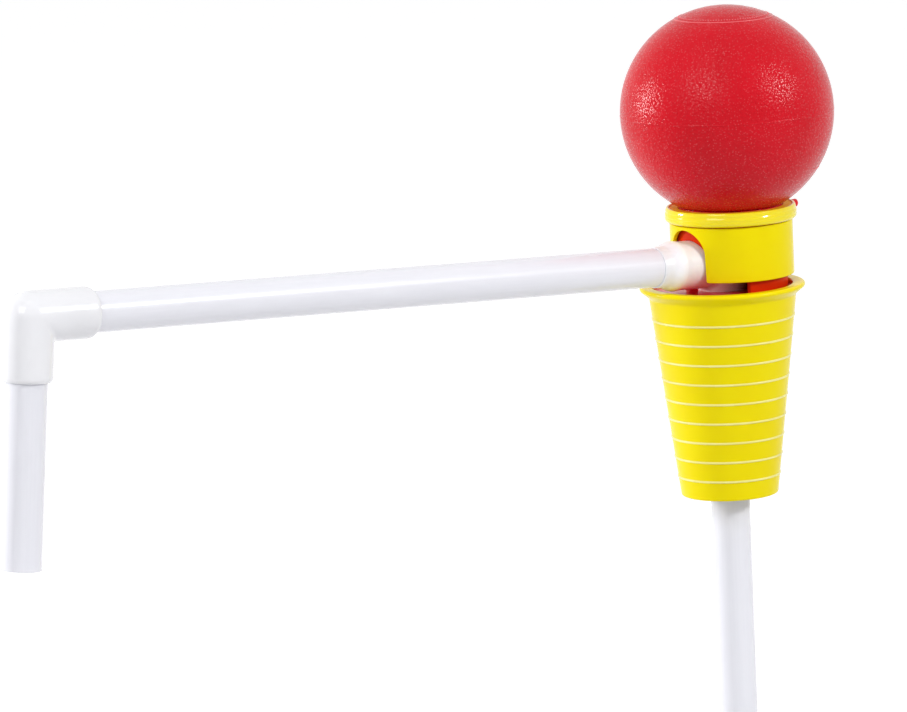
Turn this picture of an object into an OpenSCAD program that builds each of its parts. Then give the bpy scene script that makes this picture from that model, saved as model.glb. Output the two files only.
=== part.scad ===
// Hand pump with a squeeze bulb for canisters and drums.
// A ringed cone stopper seats in the container's neck. The pump head turns in the stopper:
// pressing the bulb drives air down a duct into the container, and the liquid rises through
// the riser pipe, the spout, the discharge pipe and the elbow to the outlet pipe.
// Millimetres. Origin: axis of the cone stopper, at the mouth of the neck that it sits in.
// +Z is up along the stopper's axis, and the discharge pipe points along -X.

/* [Stopper] */
// Diameter of the cone where it meets the mouth of the neck
seat_d = 53; // [51:0.5:58]
// Height of the rim's plane above the mouth of the neck
stopper_rise = 50.7; // [46:0.1:60]
// Depth of the cone below the mouth of the neck
stopper_drop = 42; // [25:1:60]
// Half angle of the cone, in degrees
stopper_taper = 7.1; // [6:0.1:8]
// Wall of the cone
stopper_wall = 2.2; // [1.8:0.1:2.8]
// How far the rim's lip stands out past the cone
rim_overhang = 3.4; // [2.6:0.1:5]
// Thickness of the lip's rounded edge
lip_t = 2.2; // [1.6:0.1:3]
// Angle of the lip's underside below the level, in degrees
lip_slope = 40; // [30:1:55]
// Depth of the first sealing ring below the rim's plane
first_ring = 14; // [9:0.5:20]
// Distance from one sealing ring to the next
ring_pitch = 8.75; // [6:0.05:12]
// How far a sealing ring stands out of the cone
ring_h = 0.45; // [0.2:0.05:0.8]
// Width of a sealing ring at its foot
ring_w = 1.3; // [0.8:0.1:2]

/* [Base disc] */
// Depth of the disc's face below the rim's plane
disc_sink = 1.7; // [1.5:0.1:2.5]
// Thickness of the disc
disc_t = 2.8; // [2:0.1:4]
// Thickness of the rim's wall around the disc
rim_wall = 1.65; // [1.2:0.05:2]
// Width of the ledge that carries the disc
ledge_w = 2.6; // [2:0.1:3]
// Height of the plug below the disc
plug_h = 8; // [7:0.5:11]
// Wall of the plug
plug_wall = 4.5; // [4:0.1:5]
// Wire thickness of the seal around the plug
base_seal_wire = 2; // [1.5:0.1:2.4]
// Wire thickness of the seal around the spout's foot
spout_seal_wire = 1.8; // [1.4:0.1:2.2]

/* [Spout] */
// Outside diameter of the spout
spout_d = 21.2; // [20.4:0.1:22.4]
// Height of the spout's axis above the rim's plane, on the stopper's axis
spout_lift = 9.65; // [9.6:0.05:12]
// Angle at which the arm rises away from the pump, in degrees
spout_rise = 3.75; // [3:0.25:6]
// Length of the spout from the stopper's axis to its mouth
spout_reach = 38.2; // [37:0.1:46]
// Depth of the pipe socket in the spout's mouth
spout_socket = 23; // [18:0.5:24]
// Length of the thin lip in front of the spout's ring
mouth_lip_l = 5; // [3:0.5:6]
// Length of the ring's slopes and crest together
mouth_ring_l = 9.2; // [8:0.1:10]
// How far the mouth's ring stands out of the spout
mouth_ring_h = 0.35; // [0.2:0.05:0.6]
// Depth of the riser's socket in the spout's foot
riser_socket = 22; // [16:0.5:24]

/* [Pipes] */
// Outside diameter of the three pipes
pipe_d = 17; // [16:0.1:17.4]
// Bore of the three pipes
pipe_bore = 14; // [12:0.1:14.6]
// Distance from the stopper's axis to the elbow's rim, along the arm
arm_l = 332; // [250:1:400]
// Length of the outlet pipe below the elbow
outlet_l = 76.7; // [50:0.1:150]
// Depth of the riser pipe below the mouth of the neck
riser_l = 400; // [250:5:600]

/* [Elbow] */
// Outside diameter of the elbow
elbow_d = 21.3; // [20.6:0.1:24]
// Length of the elbow's upper arm, from the crossing of its axes
elbow_in = 29.5; // [26:0.5:34]
// Length of the elbow's lower arm, from the crossing of its axes
elbow_out = 26.5; // [24:0.5:34]
// Angle between the elbow's arms, in degrees
elbow_angle = 92.1; // [88:0.1:96]
// Depth of the elbow's two sockets
elbow_socket = 16; // [12:0.5:18]

/* [Cap and housing] */
// Outside diameter of the cap's skirt
cap_d = 53.8; // [53:0.1:56]
// Wall of the cap
cap_wall = 2; // [1.6:0.1:2.2]
// Height of the cap's lower edge above the rim's plane
cap_gap = 3.8; // [2:0.1:5]
// Distance of the head's axis from the stopper's axis, away from the spout
cap_offset = 6.3; // [5.8:0.1:6.8]
// Width of the arched notch over the spout
notch_w = 22.4; // [22.4:0.1:26]
// Height of the cap's wall over the notch
notch_cover = 1.6; // [1:0.1:3]
// Wall of the valve housing
housing_wall = 2; // [1.6:0.1:2.4]
// Thickness of the housing's deck
deck_t = 2; // [1.6:0.1:2.6]
// Outside diameter of the air duct
duct_d = 10; // [8:0.1:10.4]
// Wall of the air duct
duct_wall = 1.8; // [1.2:0.1:2]

/* [Valves] */
// Diameter of the two valve discs
valve_d = 14; // [13:0.1:14.6]
// Thickness of the valve discs
valve_t = 1; // [0.8:0.1:1.2]
// Diameter of the valve stems
stem_d = 3; // [2.4:0.1:3.2]
// Travel of the two valves
valve_lift = 1.5; // [1:0.1:1.8]
// Thickness of the valve plate
plate_t = 2.4; // [2:0.1:2.8]
// Number of air ports around each valve stem
port_count = 6; // [4:1:6]
// Diameter of an air port
port_d = 3; // [2:0.1:3.2]

/* [Bulb] */
// Diameter of the bulb
bulb_d = 93.6; // [80:0.1:110]
// Wall of the bulb
bulb_wall = 2.5; // [2:0.1:3.5]
// Diameter of the crown disc on top of the bulb
crown_d = 44; // [30:0.5:50]
// Thickness of the cuff that grips the spigot
cuff_t = 5.2; // [4.8:0.1:5.4]

/* [Collar ring] */
// How far the collar stands out past the cap
collar_overhang = 2; // [1.6:0.1:3]
// Height of the collar ring
collar_h = 6.1; // [6.1:0.1:8]
// How much narrower the collar's top is, on the radius
collar_draft = 0.7; // [0.2:0.1:1]

/* [Vent knob] */
// Diameter of the vent knob's grip
knob_d = 4.2; // [4:0.1:6]
// Length of the vent knob's grip
knob_l = 8; // [6:0.5:14]
// Diameter of the vent knob's stem
vent_stem_d = 3; // [2.4:0.1:3]
// Travel of the vent knob
vent_travel = 3; // [2:0.5:4]

/* [Hidden] */
$fn = 96;

// Clearances
running_fit = 0.05;    // radial, between a part that turns or slides and its bore
push_fit = 0.02;       // radial, between a pipe's end and its socket
seat_gap = 0.1;        // between faces that turn or lift off each other
assembly_gap = 0.3;    // between parts that only pass each other
seal_squeeze = 0.05;   // how far a seal is pressed into what holds it
past = 1;              // how far a cut runs past the face that it opens

// Radii
pipe_r = pipe_d / 2;
pipe_bore_r = pipe_bore / 2;
waterway_r = pipe_bore_r + 0.3;
spout_r = spout_d / 2;
elbow_r = elbow_d / 2;
cap_r = cap_d / 2;
bulb_r = bulb_d / 2;
duct_r = duct_d / 2;
valve_r = valve_d / 2;
stem_r = stem_d / 2;
vent_r = vent_stem_d / 2;

// The cone's radius at height z
function cone_r(z) = seat_d / 2 + z * tan(stopper_taper);

// Heights in the stopper
rim_z = stopper_rise;
disc_top = rim_z - disc_sink;
disc_bottom = disc_top - disc_t;
ledge_z = disc_bottom - seat_gap;
plug_bottom = disc_bottom - plug_h;
recess_r = cone_r(ledge_z) - rim_wall;
disc_r = recess_r - 2 * seat_gap;
seat_bore_r = recess_r - ledge_w;
plug_r = seat_bore_r - running_fit;
rim_r = cone_r(rim_z) + rim_overhang;

// The spout: its axis, its foot and the boss that holds it
spout_z = rim_z + spout_lift;
foot_h = 21;
foot_z = disc_bottom - foot_h;
boss_r = spout_r + spout_seal_wire + 1.6;
spout_flange_r = spout_r + 2.4;
spout_flange_t = 0.4;
corner_swell = 0.15;     // how far the rounded corner stands out of the arms

// Heights and radii in the head
housing_r = min(cap_r - cap_wall, recess_r - cap_offset) - assembly_gap;
housing_open_x = -8.6;   // the housing's foot is open on the spout's side of this
spout_top = spout_z + (housing_r - cap_offset) * tan(spout_rise) + spout_r / cos(spout_rise);
deck_z = spout_top + 0.84;
deck_top = deck_z + deck_t;
cap_z = rim_z + cap_gap;
housing_open_z = cap_z + 3;
cap_deck_t = 1.5;
shoulder_z = deck_top + 2;
cap_top = shoulder_z + cap_deck_t;
plate_top = deck_top + plate_t;
collar_lift = 0.6;
collar_z = cap_top + collar_lift;
collar_top = collar_z + collar_h;
collar_r = cap_r + collar_overhang;
cuff_r = cap_r - 0.7;
spigot_r = cuff_r - cuff_t;
spigot_wall = 2.4;
spigot_bore_r = spigot_r - spigot_wall;
cuff_top = collar_top - 1.25;
spigot_top = cuff_top - 0.35;
neck_r = spigot_r + 1.8;
neck_bore_r = spigot_r - 2;
bulb_z = collar_top + seat_gap + sqrt(bulb_r * bulb_r - neck_r * neck_r);

// Places of the valves, the dome and the duct, from the head's axis
dome_r = valve_r + 2.2;
dome_wall = 1.4;
dome_x = spigot_bore_r - 0.8 - dome_r;
intake_x = -(spigot_bore_r - valve_r - 2.6);
duct_x = dome_x + 3.4;
vent_boss_r = vent_r + 1;
vent_boss_s = sqrt(spigot_bore_r * spigot_bore_r - vent_boss_r * vent_boss_r) - push_fit;
dome_roof_t = 1.5;
retainer_t = 1.15;
vent_z = cuff_top - 2.4;
dome_top = vent_z + 3.7;

// The elbow's place along the arm
arm_cross = arm_l + elbow_in;
outlet_relief = 0.3;     // how far the outlet pipe's end is turned down
outlet_end_r = pipe_r - outlet_relief;

// Points on an arc around [cx, cy], from angle a0 to a1
function arc(cx, cy, r, a0, a1, n) =
    [for (i = [0:n]) let (a = a0 + (a1 - a0) * i / n) [cx + r * cos(a), cy + r * sin(a)]];

// Local +Z runs along the arm, from the stopper's axis to the elbow, and local +X is up
module along_arm(s = 0) {
    translate([0, 0, spout_z]) rotate([0, spout_rise - 90, 0]) translate([0, 0, s]) children();
}

// Local +Z runs along the outlet, from the elbow's crossing
module along_outlet(s = 0) {
    along_arm(arm_cross) rotate([0, elbow_angle - 180, 0]) translate([0, 0, s]) children();
}

// Moves to the axis of the head
module at_head(x = 0, z = 0) {
    translate([cap_offset + x, 0, z]) children();
}

// Local +Z runs along the vent, away from the head's axis
module along_vent(s = 0) {
    at_head(0, vent_z) rotate([0, 90, 0]) translate([0, 0, s]) children();
}

module tube(r, bore_r, h) {
    difference() {
        cylinder(r = r, h = h);
        translate([0, 0, -past]) cylinder(r = bore_r, h = h + 2 * past);
    }
}

// A flat ring of round wire around Z
module wire_ring(inner_r, wire) {
    rotate_extrude() translate([inner_r + wire / 2, 0]) circle(d = wire, $fn = 32);
}

// The ring of air ports and the guide bore of one valve, cut through h
module valve_ports(h) {
    translate([0, 0, -past]) cylinder(r = stem_r + running_fit, h = h + 2 * past);
    for (i = [0:port_count - 1])
        rotate([0, 0, 360 * i / port_count])
            translate([stem_r + 0.5 + port_d / 2 + 0.9, 0, -past])
                cylinder(d = port_d, h = h + 2 * past);
}

// A mushroom valve: disc upwards from z = 0, stem down through a wall of thickness t
module mushroom_valve(t) {
    reach = t + valve_lift + 2 * seat_gap;
    rotate_extrude()
        polygon([[0, -reach - retainer_t], [stem_r, -reach - retainer_t],
                 [stem_r + 0.7, -reach - retainer_t * 0.3], [stem_r + 0.7, -reach],
                 [stem_r, -reach], [stem_r, 0], [valve_r, 0], [valve_r, valve_t * 0.4],
                 [stem_r + 1.4, valve_t], [0, valve_t]]);
}

// One sealing ring's outline at height z, from its lower foot to its upper foot
function ring_points(z) =
    [[cone_r(z - ring_w / 2), z - ring_w / 2],
     [cone_r(z - ring_w / 4) + ring_h * 0.85, z - ring_w / 4],
     [cone_r(z) + ring_h, z],
     [cone_r(z + ring_w / 4) + ring_h * 0.85, z + ring_w / 4],
     [cone_r(z + ring_w / 2), z + ring_w / 2]];

module stopper() {
    foot_round = 0.8;
    lip_r = lip_t / 2;
    lip_z = rim_z - lip_r + 0.35;
    lip_x = rim_r - lip_r;
    // the lip's underside, from its edge inwards to the cone
    under_r = lip_x + lip_r * sin(lip_slope);
    under_z = lip_z - lip_r * cos(lip_slope);
    under_fall = (under_r - cone_r(under_z)) / (1 / tan(lip_slope) - tan(stopper_taper));
    lip_foot = under_z - under_fall;
    ring_n = floor((first_ring - rim_z - stopper_drop + ring_w) / -ring_pitch);
    rings = [for (i = [ring_n:-1:0]) each ring_points(rim_z - first_ring - i * ring_pitch)];
    bottom_r = cone_r(-stopper_drop);
    // height at which the tapered bore reaches the plug's bore
    bore_z = (seat_bore_r + stopper_wall - seat_d / 2) / tan(stopper_taper);
    color("gold") rotate_extrude() polygon(concat(
        [[bottom_r - stopper_wall, -stopper_drop], [bottom_r - foot_round, -stopper_drop],
         [cone_r(foot_round - stopper_drop), foot_round - stopper_drop]],
        rings,
        [[cone_r(lip_foot - 0.8), lip_foot - 0.8],
         [cone_r(lip_foot) + 0.2, lip_foot + 0.05],
         [cone_r(lip_foot) + 0.6 / tan(lip_slope), lip_foot + 0.6]],
        arc(lip_x, lip_z, lip_r, lip_slope - 90, 90, 10),
        [[recess_r + 0.9, rim_z + 0.35], [recess_r + 0.2, rim_z], [recess_r, rim_z - 0.4],
         [recess_r, ledge_z], [seat_bore_r, ledge_z],
         [seat_bore_r, min(bore_z, plug_bottom - past)]]));
}

module base_disc() {
    groove_z = plug_bottom + plug_h / 2;
    groove_h = base_seal_wire + 0.2;
    color("firebrick") difference() {
        union() {
            translate([0, 0, disc_bottom]) cylinder(r = disc_r, h = disc_t);
            translate([0, 0, plug_bottom]) tube(plug_r, plug_r - plug_wall, plug_h);
            translate([0, 0, plug_bottom]) cylinder(r = boss_r, h = plug_h);
            at_head(duct_x, plug_bottom) cylinder(r = duct_r + 1.8, h = plug_h);
        }
        // the spout's foot and its seal
        translate([0, 0, plug_bottom - past])
            cylinder(r = spout_r + push_fit, h = plug_h + disc_t + 2 * past);
        translate([0, 0, groove_z - spout_seal_wire / 2 - 0.1])
            cylinder(r = spout_r + spout_seal_wire - 2 * seal_squeeze, h = spout_seal_wire + 0.2);
        // the end of the air duct
        at_head(duct_x, plug_bottom - past)
            cylinder(r = duct_r + push_fit, h = plug_h + disc_t + 2 * past);
        // the groove of the seal around the plug
        translate([0, 0, groove_z - groove_h / 2])
            tube(plug_r + past, plug_r - base_seal_wire + seal_squeeze, groove_h);
    }
}

module base_seal() {
    color("dimgray") translate([0, 0, plug_bottom + plug_h / 2])
        wire_ring(plug_r - base_seal_wire, base_seal_wire);
}

module spout_seal() {
    color("dimgray") translate([0, 0, plug_bottom + plug_h / 2])
        wire_ring(spout_r - seal_squeeze, spout_seal_wire);
}

module spout() {
    ring_r = spout_r + mouth_ring_h;
    ring_end = spout_reach - mouth_lip_l;
    crest = ring_end - 5.2;
    ring_start = ring_end - mouth_ring_l;
    color("mistyrose") difference() {
        union() {
            translate([0, 0, foot_z]) cylinder(r = spout_r, h = spout_z - foot_z);
            translate([0, 0, spout_z]) sphere(r = spout_r + corner_swell);
            along_arm() cylinder(r = spout_r, h = ring_start);
            // the ring rises to its crest, slopes down to the thin lip and ends around the pipe
            along_arm() rotate_extrude() polygon([
                [0, ring_start - past], [spout_r, ring_start - past], [spout_r, ring_start],
                [ring_r - 0.1, crest - 1.6], [ring_r, crest - 0.6], [ring_r, crest + 0.4],
                [ring_r - 0.4, crest + 1.8], [pipe_r + 1.25, ring_end - 1],
                [pipe_r + 0.7, ring_end], [pipe_r + 0.4, spout_reach], [0, spout_reach]]);
            translate([0, 0, disc_top]) cylinder(r = spout_flange_r, h = spout_flange_t);
        }
        // waterway around the corner
        translate([0, 0, foot_z + riser_socket - past])
            cylinder(r = waterway_r, h = spout_z - foot_z - riser_socket + past);
        translate([0, 0, spout_z]) sphere(r = waterway_r);
        along_arm() cylinder(r = waterway_r, h = spout_reach);
        // sockets
        translate([0, 0, foot_z - past]) cylinder(r = pipe_r + push_fit, h = riser_socket + past);
        along_arm(spout_reach - spout_socket)
            cylinder(r = pipe_r + push_fit, h = spout_socket + past);
    }
}

module riser_pipe() {
    top = foot_z + riser_socket;
    color("ghostwhite") translate([0, 0, -riser_l]) tube(pipe_r, pipe_bore_r, top + riser_l);
}

module discharge_pipe() {
    start = spout_reach - spout_socket;
    stop = arm_l + elbow_socket - assembly_gap;
    color("ghostwhite") along_arm(start) tube(pipe_r, pipe_bore_r, stop - start);
}

// One socketed arm of the elbow, from the crossing up to its rounded rim
module elbow_arm(l) {
    rim_round = 0.8;
    cylinder(r = elbow_r, h = l - rim_round);
    translate([0, 0, l - rim_round])
        cylinder(r1 = elbow_r, r2 = elbow_r - rim_round * 0.6, h = rim_round);
}

module elbow() {
    color("white") difference() {
        union() {
            along_arm(arm_cross) rotate([180, 0, 0]) elbow_arm(elbow_in);
            along_arm(arm_cross) sphere(r = elbow_r);
            along_outlet() elbow_arm(elbow_out);
        }
        along_arm(arm_l) cylinder(r = waterway_r, h = elbow_in);
        along_arm(arm_cross) sphere(r = waterway_r);
        along_outlet() cylinder(r = waterway_r, h = elbow_out);
        along_arm(arm_l - past) cylinder(r = pipe_r + running_fit, h = elbow_socket + past);
        along_outlet(elbow_out - elbow_socket)
            cylinder(r = outlet_end_r + push_fit, h = elbow_socket + past);
    }
}

module outlet_pipe() {
    color("ghostwhite") {
        along_outlet(elbow_out - elbow_socket)
            tube(outlet_end_r, pipe_bore_r, elbow_socket + outlet_l);
        along_outlet(elbow_out) tube(pipe_r, pipe_bore_r, outlet_l);
    }
}

module valve_housing() {
    duct_bottom = plug_bottom;
    color("orangered") difference() {
        union() {
            at_head(0, disc_top) tube(housing_r, housing_r - housing_wall, shoulder_z - disc_top);
            at_head(0, deck_z) cylinder(r = housing_r - housing_wall / 2, h = deck_t);
            at_head(0, deck_z) tube(spigot_r, spigot_bore_r, spigot_top - deck_z);
            at_head(0, deck_top) tube(housing_r, spigot_bore_r, shoulder_z - deck_top);
            at_head(duct_x, duct_bottom) cylinder(r = duct_r, h = deck_z - duct_bottom + past);
        }
        // the air duct, through the deck
        at_head(duct_x, duct_bottom - past)
            cylinder(r = duct_r - duct_wall, h = deck_top - duct_bottom + 2 * past);
        // the air intake under the valve plate
        at_head(intake_x, deck_z - past) cylinder(r = valve_r - 0.5, h = deck_t + 2 * past);
        // the arch over the spout, open downwards
        along_arm() cylinder(r = spout_r + assembly_gap / 2, h = spout_reach);
        translate([-spout_reach, -spout_r - assembly_gap / 2, disc_top - past])
            cube([spout_reach, spout_d + assembly_gap, spout_z - disc_top + past]);
        // the foot, open on the side of the spout's leg
        at_head(housing_open_x - housing_r, disc_top - past) translate([0, -housing_r, 0])
            cube([housing_r, 2 * housing_r, housing_open_z - disc_top + past]);
        along_vent(spigot_bore_r - past) cylinder(r = vent_r + running_fit, h = spigot_wall + 2 * past);
    }
}

module valve_plate() {
    roof_z = dome_top - dome_roof_t;
    vent_start = dome_x + dome_r - dome_wall / 2;
    color("whitesmoke") difference() {
        union() {
            at_head(0, deck_top) cylinder(r = spigot_bore_r - push_fit, h = plate_t);
            at_head(dome_x, plate_top) cylinder(r = dome_r, h = dome_top - plate_top);
            // boss that meets the spigot's wall around the vent
            along_vent(vent_start) cylinder(r = vent_boss_r, h = vent_boss_s - vent_start);
        }
        at_head(dome_x, deck_top - past)
            cylinder(r = dome_r - dome_wall, h = roof_z - deck_top + past);
        at_head(intake_x, deck_top) valve_ports(plate_t);
        at_head(dome_x, roof_z) valve_ports(dome_roof_t);
        along_vent(dome_x + dome_r - dome_wall - past)
            cylinder(r = vent_r + running_fit, h = spigot_wall + dome_wall + 2 * past);
    }
}

module intake_valve() {
    color("dimgray") at_head(intake_x, plate_top + seat_gap) mushroom_valve(plate_t);
}

module delivery_valve() {
    color("dimgray") at_head(dome_x, dome_top - dome_roof_t - seat_gap)
        rotate([180, 0, 0]) mushroom_valve(dome_roof_t);
}

module cap() {
    arch_r = notch_w / 2;
    arch_z = cap_top - notch_cover - arch_r;
    color("gold") difference() {
        at_head() rotate_extrude()
            polygon(concat(
                [[cap_r - cap_wall, cap_z], [cap_r - 0.3, cap_z], [cap_r, cap_z + 0.3]],
                [[cap_r, cap_top - 0.5], [cap_r - 0.5, cap_top], [spigot_r + push_fit, cap_top],
                 [spigot_r + push_fit, shoulder_z], [cap_r - cap_wall, shoulder_z]]));
        translate([-cap_r - past, 0, arch_z]) rotate([0, 90, 0])
            cylinder(r = arch_r, h = cap_r);
        translate([-cap_r - past, -arch_r, cap_z - past])
            cube([cap_r, notch_w, arch_z - cap_z + past]);
    }
}

module bulb() {
    color("crimson") difference() {
        union() {
            at_head(0, bulb_z) sphere(r = bulb_r, $fn = 128);
            at_head(0, cap_top) cylinder(r = cuff_r, h = cuff_top - cap_top);
            at_head(0, cuff_top) cylinder(r = neck_r, h = collar_top + seat_gap - cuff_top);
        }
        at_head(0, bulb_z) sphere(r = bulb_r - bulb_wall, $fn = 128);
        at_head(0, spigot_top) cylinder(r = neck_bore_r, h = bulb_wall * 3);
        at_head(0, cap_top - past)
            cylinder(r = spigot_r + push_fit, h = spigot_top + push_fit - cap_top + past);
        at_head(0, bulb_z) cylinder(r = crown_d / 2, h = bulb_r + past);
        along_vent(spigot_r - past) cylinder(r = vent_r + running_fit, h = cuff_t + 2 * past);
    }
}

module bulb_crown() {
    color("crimson") difference() {
        at_head(0, bulb_z) intersection() {
            sphere(r = bulb_r, $fn = 128);
            cylinder(r = crown_d / 2 - running_fit, h = bulb_r + past);
        }
        at_head(0, bulb_z) sphere(r = bulb_r - bulb_wall, $fn = 128);
    }
}

module collar_ring() {
    top_r = collar_r - collar_draft;
    bead = 0.35;
    mid_z = collar_z + collar_h * 0.5;
    function band_r(z) = collar_r - collar_draft * (z - collar_z) / collar_h;
    color("gold") difference() {
        at_head() rotate_extrude() polygon(concat(
            [[cuff_r + push_fit, collar_z], [collar_r - 0.8, collar_z],
             [collar_r - 0.2, collar_z + 0.25], [collar_r, collar_z + 0.8],
             [band_r(collar_z + 1.2) - bead, collar_z + 1.5]],
            [[band_r(mid_z) - bead, mid_z - 0.7], [band_r(mid_z), mid_z - 0.3],
             [band_r(mid_z), mid_z + 0.3], [band_r(mid_z) - bead, mid_z + 0.7]],
            [[top_r - bead, collar_top - 1.2], [top_r, collar_top - 0.8]],
            [[top_r, collar_top - 0.4], [top_r - 0.4, collar_top], [top_r - 1, collar_top],
             [top_r - 1.4, collar_top - 0.3], [neck_r + 0.2, collar_top - 0.3],
             [neck_r + 0.2, cuff_top], [cuff_r + push_fit, cuff_top]]));
        along_vent(cuff_r - past) cylinder(r = vent_r + running_fit, h = collar_overhang + 4 * past);
    }
}

module vent_knob() {
    grip_s = collar_r + assembly_gap;
    tip_s = dome_x + dome_r - dome_wall + 0.2;
    knob_r = knob_d / 2;
    color("red") along_vent() rotate_extrude() polygon(
        [[0, tip_s], [vent_r, tip_s], [vent_r, grip_s], [knob_r - 0.7, grip_s],
         [knob_r - 0.5, grip_s + knob_l * 0.45], [knob_r, grip_s + knob_l * 0.6],
         [knob_r, grip_s + knob_l - 0.8], [knob_r - 0.8, grip_s + knob_l],
         [0, grip_s + knob_l]]);
}

stopper();
base_disc();
base_seal();
spout_seal();
spout();
riser_pipe();
discharge_pipe();
elbow();
outlet_pipe();
valve_housing();
valve_plate();
intake_valve();
delivery_valve();
cap();
bulb();
bulb_crown();
collar_ring();
vent_knob();
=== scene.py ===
"""The look of the siphon bulb pump: its moulded pieces, its plastics, and a plain white studio."""

import math

import bmesh
import bpy
from mathutils import Matrix, Vector


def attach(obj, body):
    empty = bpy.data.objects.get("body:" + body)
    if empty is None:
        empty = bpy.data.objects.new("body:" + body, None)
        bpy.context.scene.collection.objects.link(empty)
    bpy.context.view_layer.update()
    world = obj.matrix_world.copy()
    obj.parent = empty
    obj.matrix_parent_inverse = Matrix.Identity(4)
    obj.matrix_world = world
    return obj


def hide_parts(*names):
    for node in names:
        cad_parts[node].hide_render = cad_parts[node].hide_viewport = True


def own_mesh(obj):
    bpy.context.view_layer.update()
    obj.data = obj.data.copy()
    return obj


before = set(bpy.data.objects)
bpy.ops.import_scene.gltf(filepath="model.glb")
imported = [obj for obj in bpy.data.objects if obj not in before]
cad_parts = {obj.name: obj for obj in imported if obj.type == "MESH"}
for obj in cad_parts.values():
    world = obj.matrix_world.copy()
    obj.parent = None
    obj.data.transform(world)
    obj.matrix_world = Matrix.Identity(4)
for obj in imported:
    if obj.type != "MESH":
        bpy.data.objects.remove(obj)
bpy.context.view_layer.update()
MM = 0.001

# ---------------------------------------------------------------- sizes, in millimetres
RIM_Z = 50.7                                # plane of the stopper's rim
CONE_R, CONE_SLOPE = 26.5, math.tan(math.radians(7.1))
CONE_FOOT, LIP_FOOT = -42.0, 46.15         # the cone's foot, and where the lip flares out of it
RING_FIRST, RING_PITCH, RING_COUNT = 14.0, 8.75, 9
HEAD_X = 6.3                                # the head's axis stands this far from the stopper's
SPOUT_Z, SPOUT_RISE, SPOUT_REACH = 60.35, math.radians(3.75), 38.2
SPOUT_R, PIPE_R, PIPE_BORE = 10.6, 8.5, 7.0
ARM_L, ELBOW_IN, ELBOW_OUT, ELBOW_R = 332.0, 29.5, 26.5, 10.65
ELBOW_SOCKET, OUTLET_L, RISER_L = 16.0, 76.7, 400.0
CAP_R, CAP_WALL, CAP_Z, CAP_TOP = 26.9, 2.0, 54.5, 78.47
ARCH_R, ARCH_Z = 11.2, 65.67
COLLAR_Z, COLLAR_TOP, COLLAR_R = 79.07, 85.17, 28.9
BULB_R, BULB_Z, BULB_WALL = 46.8, 126.14, 2.5
BALL_R = BULB_R - 0.12                      # the ball's skin; its seam reaches BULB_R
CROWN_R = 22.0
VENT_Z, KNOB_S, KNOB_L, KNOB_R = 81.52, 29.2, 8.0, 1.8
WATERWAY_R = 7.3                            # bore of the spout and the elbow past their sockets
PIPE_STOP, PIPE_GAP, RISER_TOP = 15.2, 0.3, 47.2    # where the pipes end in their sockets
TINY, CORNER_SHARE = 1e-6, 0.48             # no length at all; the most of a side a rounding takes

ALONG_ARM = Vector((-math.cos(SPOUT_RISE), 0, math.sin(SPOUT_RISE)))
OUTLET_TILT = math.radians(92.1 - 90) + SPOUT_RISE
ALONG_OUTLET = Vector((-math.sin(OUTLET_TILT), 0, -math.cos(OUTLET_TILT)))
SPOUT_CROSS = Vector((0, 0, SPOUT_Z))
ELBOW_CROSS = SPOUT_CROSS + ALONG_ARM * (ARM_L + ELBOW_IN)


# ---------------------------------------------------------------- making meshes
def new_object(name, data):
    """An object around a mesh, a lamp or a camera, linked into the scene."""
    obj = bpy.data.objects.new(name, data)
    bpy.context.scene.collection.objects.link(obj)
    return obj


def into_object(name, bm):
    """A smooth mesh object in metres from a closed bmesh in millimetres, faces outwards."""
    bmesh.ops.remove_doubles(bm, verts=bm.verts, dist=1e-4)
    bmesh.ops.dissolve_degenerate(bm, edges=bm.edges, dist=1e-5)
    if bm.calc_volume(signed=True) < 0:
        bmesh.ops.reverse_faces(bm, faces=bm.faces)
    bmesh.ops.scale(bm, vec=(MM, MM, MM), verts=bm.verts)
    mesh = bpy.data.meshes.new(name)
    bm.to_mesh(mesh)
    bm.free()
    mesh.shade_smooth()
    return new_object(name, mesh)


def rounded(corners, steps=6, lead=0.25, closed=True):
    """Outline points from (radius, height, rounding) corners of a section.
    Each rounded corner is an arc, with a short straight lead that keeps the flats flat.
    An open section keeps its two end points as they are."""
    points = []
    for i, (r, z, rounding) in enumerate(corners):
        if not closed and i in (0, len(corners) - 1):
            points.append((r, z))
            continue
        here = Vector((r, z))
        before = Vector(corners[i - 1][:2]) - here
        after = Vector(corners[(i + 1) % len(corners)][:2]) - here
        if rounding <= 0 or before.length < TINY or after.length < TINY:
            points.append((r, z))
            continue
        to_before, to_after = before.normalized(), after.normalized()
        half = math.acos(max(-1, min(1, to_before.dot(to_after)))) / 2
        room_before, room_after = before.length * CORNER_SHARE, after.length * CORNER_SHARE
        reach = min(rounding / math.tan(half), room_before, room_after)
        radius = reach * math.tan(half)
        middle = here + (to_before + to_after).normalized() * radius / math.sin(half)
        if room_before > reach + lead:
            points.append(tuple(here + to_before * (reach + lead)))
        start, end = here + to_before * reach - middle, here + to_after * reach - middle
        turn = start.angle_signed(end)
        for k in range(steps + 1):
            a = turn * k / steps
            x = start.x * math.cos(a) + start.y * math.sin(a)
            y = start.y * math.cos(a) - start.x * math.sin(a)
            points.append((middle.x + x, middle.y + y))
        if room_after > reach + lead:
            points.append(tuple(here + to_after * (reach + lead)))
    return points


def arc(centre_r, centre_z, radius, start, end, steps):
    """Points of an arc from start to end, in degrees."""
    angles = [math.radians(start + (end - start) * k / steps) for k in range(steps + 1)]
    return [(centre_r + radius * math.cos(a), centre_z + radius * math.sin(a)) for a in angles]


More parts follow.
